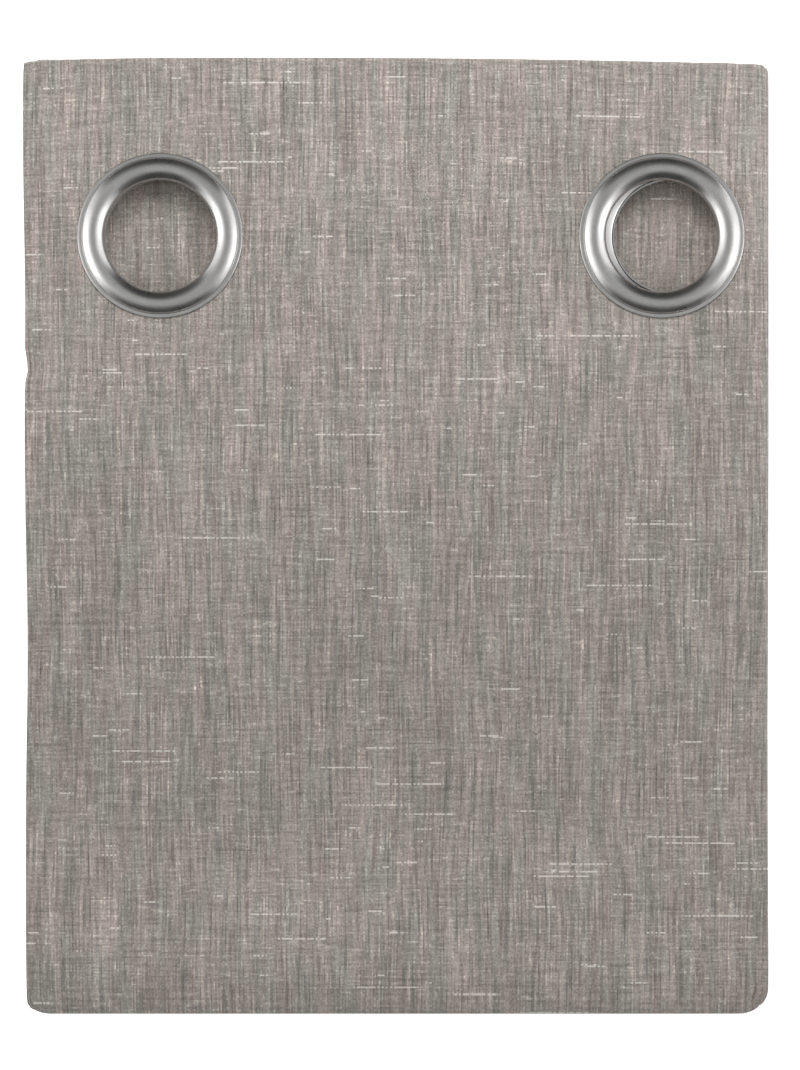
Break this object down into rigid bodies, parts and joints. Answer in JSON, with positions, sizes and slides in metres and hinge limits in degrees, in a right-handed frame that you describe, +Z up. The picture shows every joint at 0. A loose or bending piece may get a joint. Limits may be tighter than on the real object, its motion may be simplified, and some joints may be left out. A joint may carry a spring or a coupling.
{
  "type": "room curtain panel",
  "caption": "Grommet-top woven curtain panel, folded flat into a stack of leaves that unfold one by one at their cross folds.",
  "frame": {"origin": "centre of the bundle's bounding box, on the surface that it lies on", "axes": "+X across the bundle towards its folded side edge, +Y along the leaves to the grommet header, +Z up out of the front face"},
  "size_m": [0.2812, 0.366, 0.0545],
  "materials": {
    "cloth": "matte",
    "stiffener": "matte",
    "nickel": "satin"
  },
  "bodies": {
    "leaf_6": {"leaf_6_hem": "cloth", "fold_5": "cloth"},
    "leaf_5": {"leaf_5": "cloth", "fold_4": "cloth"},
    "leaf_4": {"leaf_4": "cloth", "fold_3": "cloth"},
    "leaf_3": {"leaf_3": "cloth", "fold_2": "cloth"},
    "leaf_2": {"leaf_2": "cloth", "fold_1": "cloth"},
    "leaf_1": {"leaf_1_header": "cloth", "header_stiffener": "stiffener", "grommet_1_ring": "nickel", "grommet_1_washer": "nickel", "grommet_2_ring": "nickel", "grommet_2_washer": "nickel", "grommet_3_ring": "nickel", "grommet_3_washer": "nickel", "grommet_4_ring": "nickel", "grommet_4_washer": "nickel", "grommet_5_ring": "nickel", "grommet_5_washer": "nickel", "grommet_6_ring": "nickel", "grommet_6_washer": "nickel", "grommet_7_ring": "nickel", "grommet_7_washer": "nickel", "grommet_8_ring": "nickel", "grommet_8_washer": "nickel"}
  },
  "joints": [
    {"name": "unfold_5", "type": "hinge", "parent": "leaf_6", "child": "leaf_5", "pos_m": [0, -0.1794, 0.0036], "axis": [1, 0, 0], "range_deg": [0, 176], "deforming": ["fold_5"]},
    {"name": "unfold_4", "type": "hinge", "parent": "leaf_5", "child": "leaf_4", "pos_m": [0, 0.1794, 0.01095], "axis": [-1, 0, 0], "range_deg": [0, 177], "deforming": ["fold_4"]},
    {"name": "unfold_3", "type": "hinge", "parent": "leaf_4", "child": "leaf_3", "pos_m": [0, -0.1794, 0.0111], "axis": [1, 0, 0], "range_deg": [0, 177], "deforming": ["fold_3"]},
    {"name": "unfold_2", "type": "hinge", "parent": "leaf_3", "child": "leaf_2", "pos_m": [0, 0.1794, 0.01845], "axis": [-1, 0, 0], "range_deg": [0, 175], "deforming": ["fold_2"]},
    {"name": "unfold_1", "type": "hinge", "parent": "leaf_2", "child": "leaf_1", "pos_m": [0, -0.1726, 0.02145], "axis": [1, 0, 0], "range_deg": [0, 177], "deforming": ["fold_1"]}
  ]
}
